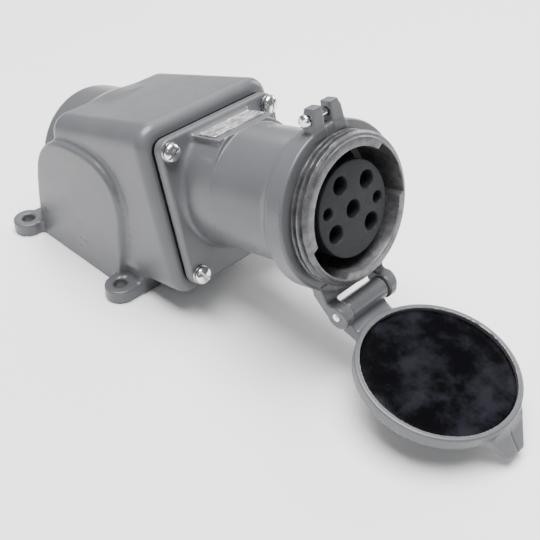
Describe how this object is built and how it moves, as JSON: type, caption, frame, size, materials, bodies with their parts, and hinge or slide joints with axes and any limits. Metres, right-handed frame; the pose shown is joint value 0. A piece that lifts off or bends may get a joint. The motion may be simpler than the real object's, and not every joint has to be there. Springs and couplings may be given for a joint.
{
  "type": "pin-and-sleeve power receptacle with angled back box",
  "caption": "Tilted cast back box with four feet and a rear conduit hub, a gasketed receptacle with a threaded nose, and a bottom-hinged gasketed flap cover.",
  "frame": {"origin": "middle of the four foot holes, on the plane that the feet are screwed to", "axes": "+Z away from the mounting surface, -Y the way the receptacle mouth points (raised 15 degrees), +X to the right seen from behind the mouth"},
  "size_m": [0.169, 0.4506, 0.1919],
  "materials": {
    "painted_casting": "grey enamel over a fine cast surface, satin",
    "raw_casting": "machined thread on a cast ring, dull grey",
    "gasket_rubber": "black rubber sheet, matt",
    "cover_rubber": "moulded black rubber, faintly mottled with a bluish sheen",
    "phenolic": "moulded dark grey insulator, satin",
    "brass": "machined brass",
    "stainless": "bright stainless, polished heads",
    "spring_steel": "plain spring steel, darker",
    "label_metal": "brushed silver plate, blank"
  },
  "bodies": {
    "receptacle_body": {"back_box": "painted_casting", "flange_gasket": "gasket_rubber", "receptacle_housing": "painted_casting", "threaded_sleeve": "raw_casting", "nameplate": "label_metal", "front_insulator": "phenolic", "rear_insulator": "phenolic", "retaining_ring": "spring_steel", "power_socket_1": "brass", "power_terminal_screw_1": "stainless", "power_socket_2": "brass", "power_terminal_screw_2": "stainless", "power_socket_3": "brass", "power_terminal_screw_3": "stainless", "power_socket_4": "brass", "power_terminal_screw_4": "stainless", "centre_socket": "brass", "centre_terminal_screw": "stainless", "pilot_socket_1": "brass", "pilot_terminal_screw_1": "stainless", "pilot_socket_2": "brass", "pilot_terminal_screw_2": "stainless", "insulator_screw_1": "stainless", "insulator_screw_2": "stainless", "lock_washer_1": "spring_steel", "flange_screw_1": "stainless", "lock_washer_2": "spring_steel", "flange_screw_2": "stainless", "lock_washer_3": "spring_steel", "flange_screw_3": "stainless", "lock_washer_4": "spring_steel", "flange_screw_4": "stainless", "lug_screw": "stainless", "hinge_pin": "stainless", "ground_screw": "brass"},
    "cover_flap": {"cover": "painted_casting", "cover_gasket": "cover_rubber"}
  },
  "joints": [
    {"name": "cover_hinge", "type": "hinge", "parent": "receptacle_body", "child": "cover_flap", "pos_m": [0, -0.24233, 0.05802], "axis": [1, 0, 0], "range_deg": [-115, 0]}
  ]
}
